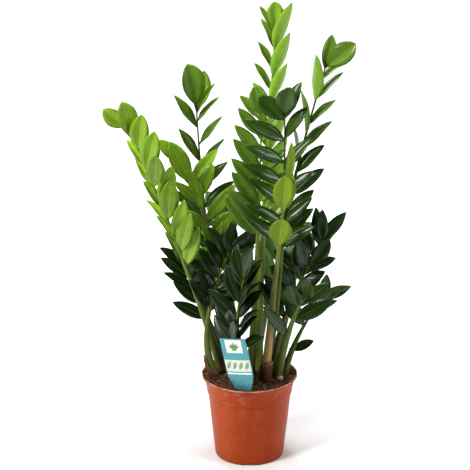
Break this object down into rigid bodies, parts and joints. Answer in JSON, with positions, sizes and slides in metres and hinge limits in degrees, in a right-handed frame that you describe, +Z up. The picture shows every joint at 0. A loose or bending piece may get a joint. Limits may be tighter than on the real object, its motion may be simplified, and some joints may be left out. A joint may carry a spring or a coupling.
{
  "type": "potted zz plant",
  "caption": "Upright clump of thick arching fronds with paired leaflets, rooted in potting soil in a round flared nursery pot with a plain care label.",
  "frame": {"origin": "middle of the pot's underside, on the surface that the pot stands on", "axes": "+Z up, -Y towards the front, where the label stands; +X to the right as seen from the front"},
  "size_m": [0.472, 0.3691, 0.9117],
  "materials": {
    "dry_sheath": "matte",
    "foliage_dark": "gloss",
    "foliage_deep": "gloss",
    "foliage_fresh": "gloss",
    "foliage_light": "gloss",
    "foliage_mid": "gloss",
    "foliage_young": "gloss",
    "label_plastic": "satin",
    "pot_plastic": "satin",
    "potting_soil": "matte",
    "tuber_skin": "matte"
  },
  "bodies": {
    "root": {"pot": "pot_plastic", "soil": "potting_soil", "plant_label": "label_plastic", "tuber_nub": "tuber_skin", "dry_sheath_1": "dry_sheath", "dry_sheath_2": "dry_sheath", "frond_front_young": "foliage_young", "frond_right_low_front": "foliage_dark", "frond_centre_dark": "foliage_dark", "frond_left_arching": "foliage_light", "frond_centre_left": "foliage_mid", "frond_right_arching": "foliage_dark", "frond_tallest": "foliage_fresh", "frond_dark_feathered": "foliage_dark", "frond_back_left": "foliage_light", "frond_middle_dark": "foliage_deep", "frond_left_low_front": "foliage_deep", "frond_right_low_rear": "foliage_dark", "frond_right_dark": "foliage_deep", "frond_right_middle": "foliage_deep", "frond_left_low_rear": "foliage_deep", "frond_rear_left": "foliage_deep", "frond_rear_right": "foliage_deep"}
  },
  "joints": []
}
